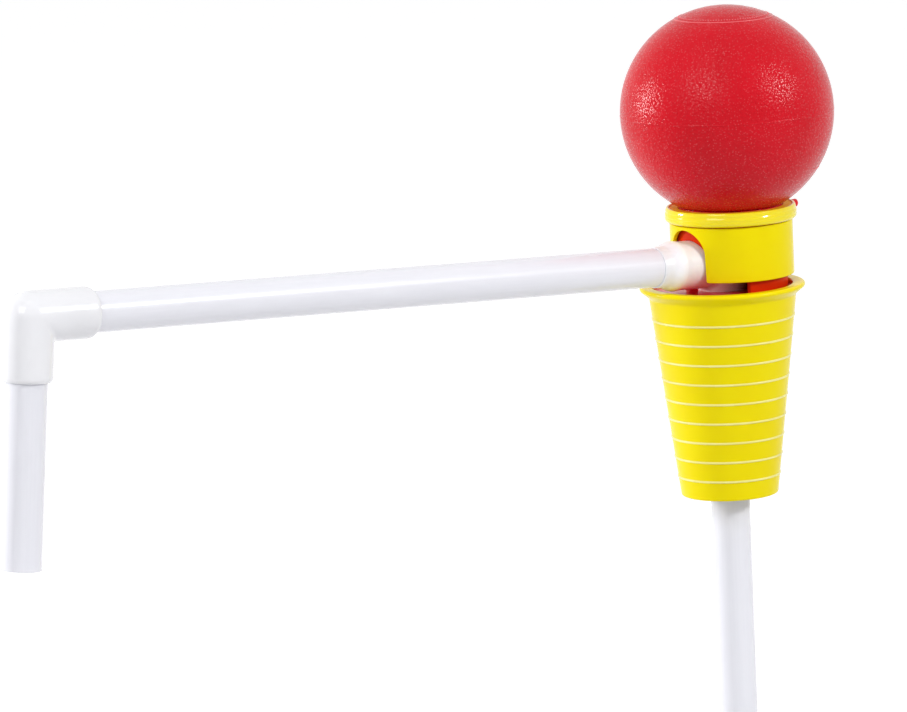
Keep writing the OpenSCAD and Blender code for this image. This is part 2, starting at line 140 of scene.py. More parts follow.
def turned(name, outline, steps=160, place=None):
    """Turns a closed section of (radius, height) points about Z, then sets it at place."""
    bm = bmesh.new()
    rings = []
    for r, z in outline:
        if r < TINY:
            rings.append([bm.verts.new((0, 0, z))] * steps)
        else:
            turns = [2 * math.pi * k / steps for k in range(steps)]
            rings.append([bm.verts.new((r * math.cos(a), r * math.sin(a), z)) for a in turns])
    skin(bm, rings)
    if place is not None:
        bmesh.ops.transform(bm, matrix=place, verts=bm.verts)
    return into_object(name, bm)


def skin(bm, rings):
    """Joins each ring of vertices to the next one, and the last ring to the first."""
    count = len(rings[0])
    for ring, following in zip(rings, rings[1:] + rings[:1]):
        for k in range(count):
            corners = [ring[k], ring[(k + 1) % count], following[(k + 1) % count], following[k]]
            distinct = list(dict.fromkeys(corners))
            if len(distinct) > 2 and not (ring[0] is ring[1] and following[0] is following[1]):
                bm.faces.new(distinct)


def placed(origin, direction):
    """A matrix that sets local +Z along direction, at origin."""
    return Matrix.Translation(origin) @ direction.to_track_quat("Z", "Y").to_matrix().to_4x4()


def at_head():
    """Moves what was turned about Z onto the head's own axis."""
    return Matrix.Translation((HEAD_X, 0, 0))


def bent_tube(name, crossing, first, second, outside, inside, tight=1.6, steps=96, turns=14):
    """A socketed bend in the XZ plane. first and second point from the crossing out along the
    two arms; outside and inside each hold the two arms' (distance, radius) rings, rim first."""
    out_first = -(second - first * second.dot(first)).normalized()
    out_second = -(first - second * second.dot(first)).normalized()
    bend = out_first.angle(out_second)
    bisector = (out_first + out_second).normalized()
    side = Vector((0, 1, 0))
    around = [2 * math.pi * k / steps for k in range(steps)]
    bm = bmesh.new()

    def arm_ring(direction, outward, distance, radius):
        """A ring round one arm, at a distance from the crossing."""
        centre = crossing + direction * distance
        return [bm.verts.new(centre + outward * radius * math.cos(a) + side * radius * math.sin(a))
                for a in around]

    def corner_rings(radius):
        """The rings that lead round the corner, which is rounded on its outer side."""
        rings = []
        for turn in range(turns + 1):
            share = turn / turns
            outward = (out_first * math.sin((1 - share) * bend)
                       + out_second * math.sin(share * bend)) / math.sin(bend)
            ring = []
            for a in around:
                offset = radius * math.cos(a)
                rounding = max(offset, tight)
                middle = crossing + bisector * (offset - rounding) / math.cos(bend / 2)
                ring.append(bm.verts.new(middle + outward * rounding + side * radius * math.sin(a)))
            rings.append(ring)
        return rings

    rings = [arm_ring(first, out_first, s, r) for s, r in outside[0]]
    rings += corner_rings(outside[0][-1][1])
    rings += [arm_ring(second, out_second, s, r) for s, r in reversed(outside[1])]
    rings += [arm_ring(second, out_second, s, r) for s, r in inside[1]]
    rings += list(reversed(corner_rings(inside[0][-1][1])))
    rings += [arm_ring(first, out_first, s, r) for s, r in reversed(inside[0])]
    skin(bm, rings)
    return into_object(name, bm)


# ---------------------------------------------------------------- node trees
def new_tree(name, tree_kind, inputs, outputs):
    """A node tree with (name, socket type, value) inputs and (name, socket type) outputs, and
    the nodes at its two ends."""
    tree = bpy.data.node_groups.new(name, tree_kind)
    for label, kind, value in inputs:
        socket = tree.interface.new_socket(label, in_out="INPUT", socket_type=kind)
        if value is not None:
            socket.default_value = value
    for label, kind in outputs:
        tree.interface.new_socket(label, in_out="OUTPUT", socket_type=kind)
    return tree, tree.nodes.new("NodeGroupInput"), tree.nodes.new("NodeGroupOutput")


def through_tree(obj, tree, values, material=None):
    """The plain mesh that tree makes of obj with the named values, in obj's place. material is
    obj's own, given to it before the tree adds others."""
    if material is not None:
        obj.data.materials.append(material)
    modifier = obj.modifiers.new(tree.name, "NODES")
    modifier.node_group = tree
    for item in tree.interface.items_tree:
        if item.in_out == "INPUT" and item.name in values:
            modifier[item.identifier] = values[item.name]
    graph = bpy.context.evaluated_depsgraph_get()
    mesh = bpy.data.meshes.new_from_object(obj.evaluated_get(graph))
    obj.modifiers.remove(modifier)
    obj.data = mesh


def feed(tree, socket, value):
    """Gives a socket a number, a colour, or another node's output."""
    if isinstance(value, tuple):
        socket.default_value = (*value, 1.0)
    elif isinstance(value, (int, float)):
        socket.default_value = value
    else:
        tree.links.new(value, socket)


def math_node(tree, operation, first, second=0.0):
    """The outcome of one sum. Each value is a number or another node's output."""
    node = tree.nodes.new("ShaderNodeMath")
    node.operation = operation
    for socket, value in zip(node.inputs, (first, second)):
        feed(tree, socket, value)
    return node.outputs[0]


def join_painted(tree, given, result, added, material):
    """Smooths the added geometry, gives it the material of that input, and joins it to the
    geometry that came in."""
    smooth = tree.nodes.new("GeometryNodeSetShadeSmooth")
    tree.links.new(added, smooth.inputs[0])
    painted = tree.nodes.new("GeometryNodeSetMaterial")
    tree.links.new(smooth.outputs[0], painted.inputs["Geometry"])
    tree.links.new(given.outputs[material], painted.inputs["Material"])
    joined = tree.nodes.new("GeometryNodeJoinGeometry")
    tree.links.new(painted.outputs[0], joined.inputs[0])
    tree.links.new(given.outputs["Geometry"], joined.inputs[0])
    tree.links.new(joined.outputs[0], result.inputs[0])


def sealing_rings_tree():
    """Round beads on a cone, at even heights, joined to the geometry that comes in."""
    tree, given, result = new_tree("Sealing rings", "GeometryNodeTree", [
        ("Geometry", "NodeSocketGeometry", None), ("Rings", "NodeSocketInt", 9),
        ("Top", "NodeSocketFloat", 0.0367), ("Pitch", "NodeSocketFloat", 0.00875),
        ("Cone radius", "NodeSocketFloat", 0.0265), ("Slope", "NodeSocketFloat", 0.1246),
        ("Bead", "NodeSocketFloat", 0.0006), ("Proud", "NodeSocketFloat", 0.0004),
        ("Ring material", "NodeSocketMaterial", None)], [("Geometry", "NodeSocketGeometry")])
    link, new = tree.links.new, tree.nodes.new
    line = new("GeometryNodeMeshLine")
    link(given.outputs["Rings"], line.inputs["Count"])
    step = new("ShaderNodeCombineXYZ")
    link(math_node(tree, "MULTIPLY", given.outputs["Pitch"], -1.0), step.inputs["Z"])
    start = new("ShaderNodeCombineXYZ")
    link(given.outputs["Top"], start.inputs["Z"])
    link(start.outputs[0], line.inputs["Start Location"])
    link(step.outputs[0], line.inputs["Offset"])
    place = new("GeometryNodeInputPosition")
    height = new("ShaderNodeSeparateXYZ")
    link(place.outputs[0], height.inputs[0])
    widening = math_node(tree, "MULTIPLY", height.outputs["Z"], given.outputs["Slope"])
    sunk = math_node(tree, "SUBTRACT", given.outputs["Proud"], given.outputs["Bead"])
    wall = math_node(tree, "ADD", widening, given.outputs["Cone radius"])
    radius = math_node(tree, "ADD", wall, sunk)
    size = new("ShaderNodeCombineXYZ")
    link(radius, size.inputs["X"])
    link(radius, size.inputs["Y"])
    size.inputs["Z"].default_value = 1.0
    circle = new("GeometryNodeCurvePrimitiveCircle")
    circle.inputs["Resolution"].default_value = 200
    circle.inputs["Radius"].default_value = 1.0
    spread = new("GeometryNodeInstanceOnPoints")
    link(line.outputs[0], spread.inputs["Points"])
    link(circle.outputs["Curve"], spread.inputs["Instance"])
    link(size.outputs[0], spread.inputs["Scale"])
    real = new("GeometryNodeRealizeInstances")
    link(spread.outputs[0], real.inputs[0])
    section = new("GeometryNodeCurvePrimitiveCircle")
    section.inputs["Resolution"].default_value = 14
    link(given.outputs["Bead"], section.inputs["Radius"])
    bead = new("GeometryNodeCurveToMesh")
    link(real.outputs[0], bead.inputs["Curve"])
    link(section.outputs["Curve"], bead.inputs["Profile Curve"])
    join_painted(tree, given, result, bead.outputs[0], "Ring material")
    return tree


def raised_dots_tree():
    """Small domes on a ball, evenly round one parallel of it, joined to what comes in."""
    tree, given, result = new_tree("Raised dots", "GeometryNodeTree", [
        ("Geometry", "NodeSocketGeometry", None), ("Dots", "NodeSocketInt", 90),
        ("From", "NodeSocketFloat", 0.0), ("Sweep", "NodeSocketFloat", 2 * math.pi),
        ("Centre", "NodeSocketVector", (0, 0, 0)), ("Ball", "NodeSocketFloat", 0.0468),
        ("Parallel", "NodeSocketFloat", 0.019), ("Side", "NodeSocketFloat", 1.0),
        ("Dot", "NodeSocketFloat", 0.0004), ("Height", "NodeSocketFloat", 0.5),
        ("Dot material", "NodeSocketMaterial", None)], [("Geometry", "NodeSocketGeometry")])
    link, new = tree.links.new, tree.nodes.new
    line = new("GeometryNodeMeshLine")
    link(given.outputs["Dots"], line.inputs["Count"])
    number = new("GeometryNodeInputIndex")
    share = math_node(tree, "DIVIDE", number.outputs[0], given.outputs["Dots"])
    angle = math_node(tree, "ADD", math_node(tree, "MULTIPLY", share, given.outputs["Sweep"]),
                      given.outputs["From"])
    across = given.outputs["Parallel"]
    square = math_node(tree, "SUBTRACT",
                       math_node(tree, "MULTIPLY", given.outputs["Ball"], given.outputs["Ball"]),
                       math_node(tree, "MULTIPLY", across, across))
    lift = math_node(tree, "MULTIPLY", math_node(tree, "SQRT", square), given.outputs["Side"])
    spot = new("ShaderNodeCombineXYZ")
    for axis, turn in (("X", "COSINE"), ("Y", "SINE")):
        link(math_node(tree, "MULTIPLY", math_node(tree, turn, angle), across), spot.inputs[axis])
    link(lift, spot.inputs["Z"])
    moved = new("ShaderNodeVectorMath")
    link(spot.outputs[0], moved.inputs[0])
    link(given.outputs["Centre"], moved.inputs[1])
    settle = new("GeometryNodeSetPosition")
    link(line.outputs[0], settle.inputs["Geometry"])
    link(moved.outputs[0], settle.inputs["Position"])
    facing = new("FunctionNodeAlignRotationToVector")
    facing.axis = "Z"
    link(spot.outputs[0], facing.inputs["Vector"])
    dome = new("GeometryNodeMeshUVSphere")
    dome.inputs["Segments"].default_value = 12
    dome.inputs["Rings"].default_value = 6
    link(given.outputs["Dot"], dome.inputs["Radius"])
    flat = new("ShaderNodeCombineXYZ")
    flat.inputs["X"].default_value = flat.inputs["Y"].default_value = 1.0
    link(given.outputs["Height"], flat.inputs["Z"])
    spread = new("GeometryNodeInstanceOnPoints")
    link(settle.outputs[0], spread.inputs["Points"])
    link(dome.outputs[0], spread.inputs["Instance"])
    link(facing.outputs[0], spread.inputs["Rotation"])
    link(flat.outputs[0], spread.inputs["Scale"])
    real = new("GeometryNodeRealizeInstances")
    link(spread.outputs[0], real.inputs[0])
    join_painted(tree, given, result, real.outputs[0], "Dot material")
    return tree


# ---------------------------------------------------------------- shader node groups
def noise(tree, vector, scale, detail=2.0, roughness=0.5):
    """Smooth noise from 0 to 1 over the surface."""
    node = tree.nodes.new("ShaderNodeTexNoise")
    for name, value in (("Vector", vector), ("Scale", scale), ("Detail", detail),
                        ("Roughness", roughness)):
        feed(tree, node.inputs[name], value)
    return node.outputs["Fac"]


def remap(tree, value, low, high, to_low=0.0, to_high=1.0):
    """A value between low and high, eased over to the range from to_low to to_high."""
    node = tree.nodes.new("ShaderNodeMapRange")
    node.interpolation_type = "SMOOTHSTEP"
    tree.links.new(value, node.inputs["Value"])
    for name, bound in (("From Min", low), ("From Max", high), ("To Min", to_low),
                        ("To Max", to_high)):
        node.inputs[name].default_value = bound
    return node.outputs["Result"]


def mix_colour(tree, share, first, second):
    """A mix of two colours, each a colour or another node's output, with share of the second."""
    node = tree.nodes.new("ShaderNodeMix")
    node.data_type = "RGBA"
    share_in, first_in, second_in = node.inputs[0], node.inputs[6], node.inputs[7]
    for socket, value in ((share_in, share), (first_in, first), (second_in, second)):
        feed(tree, socket, value)
    return node.outputs[2]


def mould_grain_group():
    """The fine grain of a blasted mould, even or as pearls, its slow blotches, and rare specks."""
    group, given, result = new_tree(
        "Mould grain", "ShaderNodeTree",
        [("Vector", "NodeSocketVector", None), ("Grain scale", "NodeSocketFloat", 1500.0),
         ("Blotch scale", "NodeSocketFloat", 40.0)],
        [("Height", "NodeSocketFloat"), ("Pearls", "NodeSocketFloat"),
         ("Blotches", "NodeSocketFloat"), ("Specks", "NodeSocketFloat")])
    where = given.outputs["Vector"]
    fine = noise(group, where, given.outputs["Grain scale"], 1.0, 0.5)
    group.links.new(fine, result.inputs["Height"])
    cells = group.nodes.new("ShaderNodeTexVoronoi")
    group.links.new(where, cells.inputs["Vector"])
    group.links.new(given.outputs["Grain scale"], cells.inputs["Scale"])
    away = cells.outputs["Distance"]
    group.links.new(math_node(group, "MULTIPLY", away, away), result.inputs["Pearls"])
    slow = noise(group, where, given.outputs["Blotch scale"], 3.0, 0.55)
    group.links.new(remap(group, slow, 0.34, 0.66), result.inputs["Blotches"])
    dots = noise(group, where, 900.0, 1.0, 0.5)
    group.links.new(remap(group, dots, 0.80, 0.86), result.inputs["Specks"])
    return group


def scuffs_group():
    """Hair-fine scratches in two directions, in patches, as handling leaves them."""
    group, given, result = new_tree(
        "Scuffs", "ShaderNodeTree",
        [("Vector", "NodeSocketVector", None), ("Density", "NodeSocketFloat", 0.5)],
        [("Scuffs", "NodeSocketFloat")])
    where = given.outputs["Vector"]
    marks = []
    for turn, stretch in (((0.3, 0.2, 0.5), (900, 60, 60)), ((0.9, -0.4, 1.4), (60, 60, 800))):
        mapping = group.nodes.new("ShaderNodeMapping")
        mapping.inputs["Rotation"].default_value = turn
        mapping.inputs["Scale"].default_value = stretch
        group.links.new(where, mapping.inputs["Vector"])
        streaks = noise(group, mapping.outputs[0], 1.0, 2.0, 0.6)
        marks.append(remap(group, streaks, 0.66, 0.72))
    patches = remap(group, noise(group, where, 55.0, 2.0, 0.5), 0.48, 0.62)
    both = math_node(group, "MAXIMUM", marks[0], marks[1])
    worn = math_node(group, "MULTIPLY", math_node(group, "MULTIPLY", both, patches),
                     given.outputs["Density"])
    group.links.new(worn, result.inputs["Scuffs"])
    return group


def dust_group():
    """Fine dust on what faces up, thicker in places."""
    group, given, result = new_tree(
        "Dust", "ShaderNodeTree",
        [("Vector", "NodeSocketVector", None), ("Amount", "NodeSocketFloat", 0.2)],
        [("Dust", "NodeSocketFloat")])
    surface = group.nodes.new("ShaderNodeNewGeometry")
    facing = group.nodes.new("ShaderNodeSeparateXYZ")
    group.links.new(surface.outputs["Normal"], facing.inputs[0])
    upward = remap(group, facing.outputs["Z"], 0.35, 0.98)
    clouds = remap(group, noise(group, given.outputs["Vector"], 160.0, 4.0, 0.6), 0.40, 0.70)
    dust = math_node(group, "MULTIPLY", math_node(group, "MULTIPLY", upward, clouds),
                     given.outputs["Amount"])
    group.links.new(dust, result.inputs["Dust"])
    return group


def drawn_lines_group():
    """Faint lines along an extruded pipe, and the slow waves of its wall."""
    group, given, result = new_tree(
        "Drawn lines", "ShaderNodeTree", [("Vector", "NodeSocketVector", None)],
        [("Lines", "NodeSocketFloat"), ("Waves", "NodeSocketFloat")])
    stretched = group.nodes.new("ShaderNodeMapping")
    stretched.inputs["Scale"].default_value = (1.0, 1.0, 0.02)
    group.links.new(given.outputs["Vector"], stretched.inputs["Vector"])
    group.links.new(noise(group, stretched.outputs[0], 900.0, 3.0, 0.6), result.inputs["Lines"])
    group.links.new(noise(group, given.outputs["Vector"], 45.0, 2.0, 0.5), result.inputs["Waves"])
    return group


GRAIN, SCUFFS, DUST, DRAWN = mould_grain_group(), scuffs_group(), dust_group(), drawn_lines_group()


def use_group(tree, group, vector, **values):
    """Places a node group in a material, with its named inputs set (_ for a space)."""
    node = tree.nodes.new("ShaderNodeGroup")
    node.node_tree = group
    tree.links.new(vector, node.inputs["Vector"])
    for name, value in values.items():
        node.inputs[name.replace("_", " ")].default_value = value
    return node


def new_material(name):
    """A material with a Principled shader, and the piece's own Object coordinates."""
    material = bpy.data.materials.new(name)
    material.use_nodes = True
    tree = material.node_tree
    shader = tree.nodes["Principled BSDF"]
    coordinates = tree.nodes.new("ShaderNodeTexCoord")
    return material, tree, shader, coordinates.outputs["Object"]


def glow_inside(shader, weight, radius, scale):
    """Light that goes into the plastic and comes out again close by."""
    for name, value in (("Weight", weight), ("Radius", radius), ("Scale", scale)):
        shader.inputs["Subsurface " + name].default_value = value


def bump(tree, shader, height, strength, distance, below=None):
    """Relief from a height, on top of the relief below it, and into the shader if one is given."""
    node = tree.nodes.new("ShaderNodeBump")
    node.inputs["Strength"].default_value = strength
    node.inputs["Distance"].default_value = distance
    tree.links.new(height, node.inputs["Height"])
    if below is not None:
        tree.links.new(below, node.inputs["Normal"])
    if shader is not None:
        tree.links.new(node.outputs[0], shader.inputs["Normal"])
    return node.outputs[0]


def moulded_plastic(name, colour, deep, pale, roughness, grain=(1500.0, 0.25, 0.00006), dust=0.12,
                    scuffed=0.5, subsurface=0.0, radius=(1.0, 0.4, 0.1), specular=0.5,
                    relief="Height", glints=0.0):
    """Moulded plastic: colour with deep and pale blotches, grained, a little scuffed and dusty.
    grain is its scale, bump strength and bump distance, and relief the form of that grain;
    roughness is its range. glints is the gloss of the pearls' tops."""
    dust_colour = (0.72, 0.70, 0.66)
    scuffs_dull, dust_dulls = 0.12, 0.25        # what full scuffs and dust add to the roughness
    grain_scale, grain_strength, grain_depth = grain
    material, tree, shader, where = new_material(name)
    mould = use_group(tree, GRAIN, where, Grain_scale=grain_scale)
    scuffs = use_group(tree, SCUFFS, where, Density=scuffed)
    settled = use_group(tree, DUST, where, Amount=dust)
    blotched = mix_colour(tree, mould.outputs["Blotches"], deep, colour)
    specked = mix_colour(tree, mould.outputs["Specks"], blotched, pale)
    scratched = mix_colour(tree, scuffs.outputs["Scuffs"], specked, pale)
    dusted = mix_colour(tree, settled.outputs["Dust"], scratched, dust_colour)
    tree.links.new(dusted, shader.inputs["Base Color"])
    rough = remap(tree, mould.outputs["Blotches"], 0.0, 1.0, *roughness)
    for mark, dulls in ((scuffs.outputs["Scuffs"], scuffs_dull),
                        (settled.outputs["Dust"], dust_dulls)):
        rough = math_node(tree, "ADD", rough, math_node(tree, "MULTIPLY", mark, dulls))
    tree.links.new(rough, shader.inputs["Roughness"])
    below = bump(tree, None, mould.outputs[relief], grain_strength, grain_depth)
    bump(tree, shader, scuffs.outputs["Scuffs"], 0.10, -0.00001, below)
    shader.inputs["Specular IOR Level"].default_value = specular
    glow_inside(shader, subsurface, radius, 0.004)
    if glints:
        tops = remap(tree, mould.outputs["Pearls"], 0.02, 0.11, glints, 0.0)
        tree.links.new(tops, shader.inputs["Coat Weight"])
        shader.inputs["Coat Roughness"].default_value = 0.32
    return material


def along_piece(tree, where, origin, direction):
    """Object coordinates turned so that Z runs along a piece, from origin, in metres."""
    mapping = tree.nodes.new("ShaderNodeMapping")
    mapping.vector_type = "TEXTURE"
    mapping.inputs["Location"].default_value = Vector(origin) * MM
    mapping.inputs["Rotation"].default_value = direction.to_track_quat("Z", "Y").to_euler()
    tree.links.new(where, mapping.inputs["Vector"])
    return mapping.outputs[0]


def pipe_plastic(name, origin, direction, colour, deep):
    """Milky extruded polyethylene, with faint lines along the pipe."""
    material, tree, shader, where = new_material(name)
    local = along_piece(tree, where, origin, direction)
    drawn = use_group(tree, DRAWN, local)
    lines = remap(tree, drawn.outputs["Lines"], 0.38, 0.62)
    tone = math_node(tree, "MULTIPLY", lines, 0.5)
    waved = math_node(tree, "ADD", tone, math_node(tree, "MULTIPLY", drawn.outputs["Waves"], 0.5))
    tree.links.new(mix_colour(tree, waved, deep, colour), shader.inputs["Base Color"])
    tree.links.new(remap(tree, drawn.outputs["Waves"], 0.3, 0.7, 0.22, 0.27),
                   shader.inputs["Roughness"])
    below = bump(tree, None, drawn.outputs["Lines"], 0.08, 0.00004)
    bump(tree, shader, drawn.outputs["Waves"], 0.04, 0.0002, below)
    glow_inside(shader, 0.35, (1.0, 0.95, 1.0), 0.003)
    return material


def spout_plastic():
    """Natural polyethylene, with a painted red glow on its leg from the red parts it goes into,
    fading along the arm, and painted light that whitens its mouth ring.
    """
    # leg_red_glow and arm_glow_milk are painted red light from the red parts round the leg;
    # mouth_lit_milk is painted light on the mouth ring
    leg_red_glow, arm_glow_milk, base_milk = (0.95, 0.60, 0.62), (0.84, 0.77, 0.88), (0.85, 0.82, 0.87)
    cloud_milk, mouth_lit_milk = (0.88, 0.84, 0.87), (0.92, 0.91, 0.95)
    scuff_white = (0.95, 0.94, 0.94)
    material, tree, shader, where = new_material("natural_plastic_look")
    local = along_piece(tree, where, SPOUT_CROSS, ALONG_ARM)
    distance = tree.nodes.new("ShaderNodeSeparateXYZ")
    tree.links.new(local, distance.inputs[0])
    mould = use_group(tree, GRAIN, where, Grain_scale=700.0, Blotch_scale=60.0)
    scuffs = use_group(tree, SCUFFS, where, Density=0.4)
    along = distance.outputs["Z"]
    # painted red glow on the leg, fading out along the arm
    arm = mix_colour(tree, remap(tree, along, 0.008, 0.020), leg_red_glow, arm_glow_milk)
    base = mix_colour(tree, remap(tree, along, 0.015, 0.024), arm, base_milk)
    cloudy = math_node(tree, "MULTIPLY", mould.outputs["Blotches"], 0.3)
    clouds = mix_colour(tree, cloudy, base, cloud_milk)
    # painted light whitens the mouth ring
    mouth = mix_colour(tree, remap(tree, along, 0.0268, 0.0276), clouds, mouth_lit_milk)
    scuffed = mix_colour(tree, scuffs.outputs["Scuffs"], mouth, scuff_white)
    tree.links.new(scuffed, shader.inputs["Base Color"])
    tree.links.new(remap(tree, mould.outputs["Blotches"], 0, 1, 0.24, 0.34),
                   shader.inputs["Roughness"])
    bump(tree, shader, mould.outputs["Height"], 0.08, 0.00008)
    glow_inside(shader, 0.25, (1.0, 0.8, 0.8), 0.003)
    return material


YELLOW = moulded_plastic("yellow_plastic_look", (0.87, 0.72, 0.0), (0.85, 0.69, 0.0),
                         (0.88, 0.76, 0.04), (0.15, 0.20), grain=(1300.0, 0.12, 0.00004),
                         dust=0.0, scuffed=0.06, subsurface=0.12, radius=(1.0, 0.7, 0.05),
                         specular=0.08)
GLOSSY_YELLOW = moulded_plastic("glossy_yellow_plastic_look", (0.87, 0.74, 0.0), (0.85, 0.71, 0.0),
                                (0.88, 0.76, 0.04), (0.10, 0.13), grain=(1300.0, 0.02, 0.00003),
                                dust=0.0, scuffed=0.04, subsurface=0.12, radius=(1.0, 0.7, 0.05),
                                specular=0.38)
# The ledge inside the collar's lip: painted shade of the recess, with a painted red glow from the
# cuff under it.
LEDGE_SHADE = moulded_plastic("ledge_painted_shade_look", (0.97, 0.63, 0.03), (0.94, 0.57, 0.02),
                        (0.97, 0.70, 0.10), (0.35, 0.45), dust=0.0, scuffed=0.0, specular=0.02)
# Paler yellow for the stopper's sealing beads: a painted highlight along each bead.
BEAD_HIGHLIGHT_YELLOW = moulded_plastic("bead_highlight_yellow_look", (0.95, 0.87, 0.30), (0.93, 0.84, 0.24),
                              (0.95, 0.90, 0.45), (0.24, 0.30), dust=0.0, scuffed=0.06,
                              subsurface=0.2, radius=(1.0, 0.8, 0.2), specular=0.3)
RED = moulded_plastic("red_plastic_look", (0.76, 0.014, 0.022), (0.70, 0.011, 0.018),
                      (0.62, 0.05, 0.05), (0.14, 0.22), grain=(1000.0, 0.08, 0.00004), dust=0.0,
                      scuffed=0.06, specular=0.22)
ORANGE_RED = moulded_plastic("orange_red_plastic_look", (0.66, 0.032, 0.002), (0.60, 0.026, 0.002),
                             (0.76, 0.08, 0.03), (0.28, 0.38), dust=0.0, scuffed=0.06,
                             specular=0.06)
BULB = moulded_plastic("bulb_plastic_look", (0.61, 0.006, 0.016), (0.57, 0.005, 0.013),
                       (0.62, 0.02, 0.03), (0.14, 0.18), grain=(900.0, 1.0, -0.00019),
                       dust=0.0, scuffed=0.0, specular=0.11, relief="Pearls", glints=0.95)
# Paler red for the bulb's dots and the crown's bead: a painted highlight on each.
RELIEF_HIGHLIGHT_RED = moulded_plastic("relief_highlight_red_look", (0.80, 0.16, 0.18), (0.76, 0.12, 0.14),
                           (0.85, 0.30, 0.32), (0.22, 0.28), dust=0.0, scuffed=0.0, specular=0.4)
WHITE = moulded_plastic("white_plastic_look", (0.84, 0.84, 0.87), (0.82, 0.82, 0.855),
                        (0.88, 0.88, 0.90), (0.18, 0.24), grain=(900.0, 0.08, 0.00004), dust=0.0,
                        scuffed=0.08, subsurface=0.3, radius=(1.0, 1.0, 1.0))
NATURAL = spout_plastic()
PLATE = moulded_plastic("valve_plate_look", (0.80, 0.76, 0.74), (0.74, 0.70, 0.69),
                        (0.88, 0.86, 0.85), (0.25, 0.34), dust=0.0, subsurface=0.3)
SEAL = moulded_plastic("seal_rubber_look", (0.025, 0.025, 0.026), (0.018, 0.018, 0.019),
                       (0.09, 0.09, 0.09), (0.55, 0.70), grain=(2200.0, 0.3, 0.00005))
VALVE = moulded_plastic("valve_rubber_look", (0.12, 0.115, 0.11), (0.09, 0.085, 0.08),
                        (0.20, 0.19, 0.18), (0.50, 0.62), grain=(2200.0, 0.3, 0.00005))
PIPE_PALE, PIPE_DEEP = (0.825, 0.825, 0.89), (0.80, 0.80, 0.868)
DISCHARGE_LOOK = pipe_plastic("discharge_pipe_look", SPOUT_CROSS, ALONG_ARM, PIPE_PALE, PIPE_DEEP)
OUTLET_LOOK = pipe_plastic("outlet_pipe_look", ELBOW_CROSS, ALONG_OUTLET, PIPE_PALE, PIPE_DEEP)
RISER_LOOK = pipe_plastic("riser_pipe_look", (0, 0, 0), Vector((0, 0, 1)), PIPE_PALE, PIPE_DEEP)


def dress(obj, material, body, slot, *stands_for):
    """Gives a new piece its material, unless a tree has set its materials, the body it rides on,
    and the CAD node it stands for."""
    if not obj.data.materials:
        obj.data.materials.append(material)
    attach(obj, body)
    if stands_for:
        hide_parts(*stands_for)


# ---------------------------------------------------------------- stopper
def cone_r(z):
    """The cone's radius at a height."""
    return CONE_R + CONE_SLOPE * z


def make_stopper(rings):
    """The hollow cone with its flared lip; the ledge inside carries the base disc."""
    recess, bore, foot_r, foot_wall = 30.59, 27.99, cone_r(CONE_FOOT), 2.2
    ledge_z, bore_foot = 46.1, 29.6
    lip_r, lip_drop, lip_round = 35.1, 0.75, 1.1
    lip = arc(lip_r, RIM_Z - lip_drop, lip_round, -50, 90, 14)
    outline = rounded([(bore, bore_foot, 0), (foot_r - foot_wall, CONE_FOOT, 0.5),
                       (foot_r, CONE_FOOT, 0.8), (cone_r(LIP_FOOT), LIP_FOOT, 1.6),
                       lip[0] + (0,)], closed=False)[1:-1]
    outline += lip
    outline += rounded([(34.0, RIM_Z + 0.35, 0), (recess + 0.25, RIM_Z + 0.2, 0.6),
                        (recess, RIM_Z - 1.0, 0.3), (recess, ledge_z, 0.15), (bore, ledge_z, 0.3),
                        (bore, bore_foot, 0)], closed=False)
    stopper = turned("stopper_cone", outline, steps=200)
    # the beads take a paler yellow: a painted highlight
    through_tree(stopper, rings, material=YELLOW, values={
        "Rings": RING_COUNT, "Top": (RIM_Z - RING_FIRST) * MM, "Pitch": RING_PITCH * MM,
        "Cone radius": CONE_R * MM, "Slope": CONE_SLOPE, "Bead": 0.55 * MM, "Proud": 0.36 * MM,
        "Ring material": BEAD_HIGHLIGHT_YELLOW})
    dress(stopper, YELLOW, "stopper", "yellow_plastic", "stopper")


# ---------------------------------------------------------------- cap with its arch
def make_cap():
    """The yellow skirt. Its columns follow the arch's outline, so that the edge stays clean."""
    draft, corner, wall_h, arch_steps = 0.35, 0.5, 11, 24
    spigot, shoulder_z = 21.02, 76.97
    around, beside_arch = 150, 3.2              # columns round the back; degrees kept from the arch
    arch = []
    for k in range(arch_steps + 1):
        a = math.pi * k / (2 * arch_steps)
        arch.append((ARCH_R * math.cos(a), ARCH_Z + ARCH_R * math.sin(a)))
    wall = [(ARCH_R + draft * (ARCH_Z - z) / wall_h, z) for z in (56.0, 58.5, 61.0, 63.5)]
    foot = [(ARCH_R + draft + corner * (1 - math.sin(a)), CAP_Z + corner * (1 - math.cos(a)))
            for a in (0, 0.4, 0.8, 1.2, 1.5)]
    half = foot + wall + arch
    outline = [(y, z) for y, z in half] + [(-y, z) for y, z in reversed(half[:-1])]
    inner = CAP_R - CAP_WALL
    section = rounded([(inner, CAP_Z, 0.35), (CAP_R, CAP_Z, 0.35), (CAP_R, CAP_TOP, 0.6),
                       (spigot, CAP_TOP, 0), (spigot, shoulder_z, 0), (inner, shoulder_z, 0.5)])
    bm = bmesh.new()

    def lifted(z, bottom):
        """Height of a section point in a column whose lower edge is at bottom: the edge keeps
        its shape, and the wall above it closes up towards the top."""
        edge, top = 1.2, 78.2
        if z <= CAP_Z + edge:
            return z + bottom - CAP_Z
        return z if z >= top else top - (top - z) * (top - bottom - edge) / (top - CAP_Z - edge)

    columns = []
    arch_side = math.degrees(math.asin(outline[0][0] / CAP_R))
    sweep = 360 - 2 * arch_side - 2 * beside_arch
    for k in range(around + 1):
        a = math.radians(180 + arch_side + beside_arch + sweep * k / around)
        columns.append([bm.verts.new((r * math.cos(a), r * math.sin(a), z)) for r, z in section])
    for y, bottom in outline:
        columns.append([bm.verts.new((-math.sqrt(r * r - y * y), y, lifted(z, bottom)))
                        for r, z in section])
    skin(bm, columns)
    bmesh.ops.transform(bm, matrix=at_head(), verts=bm.verts)
    dress(into_object("cap_skirt", bm), YELLOW, "head", "yellow_plastic", "cap")


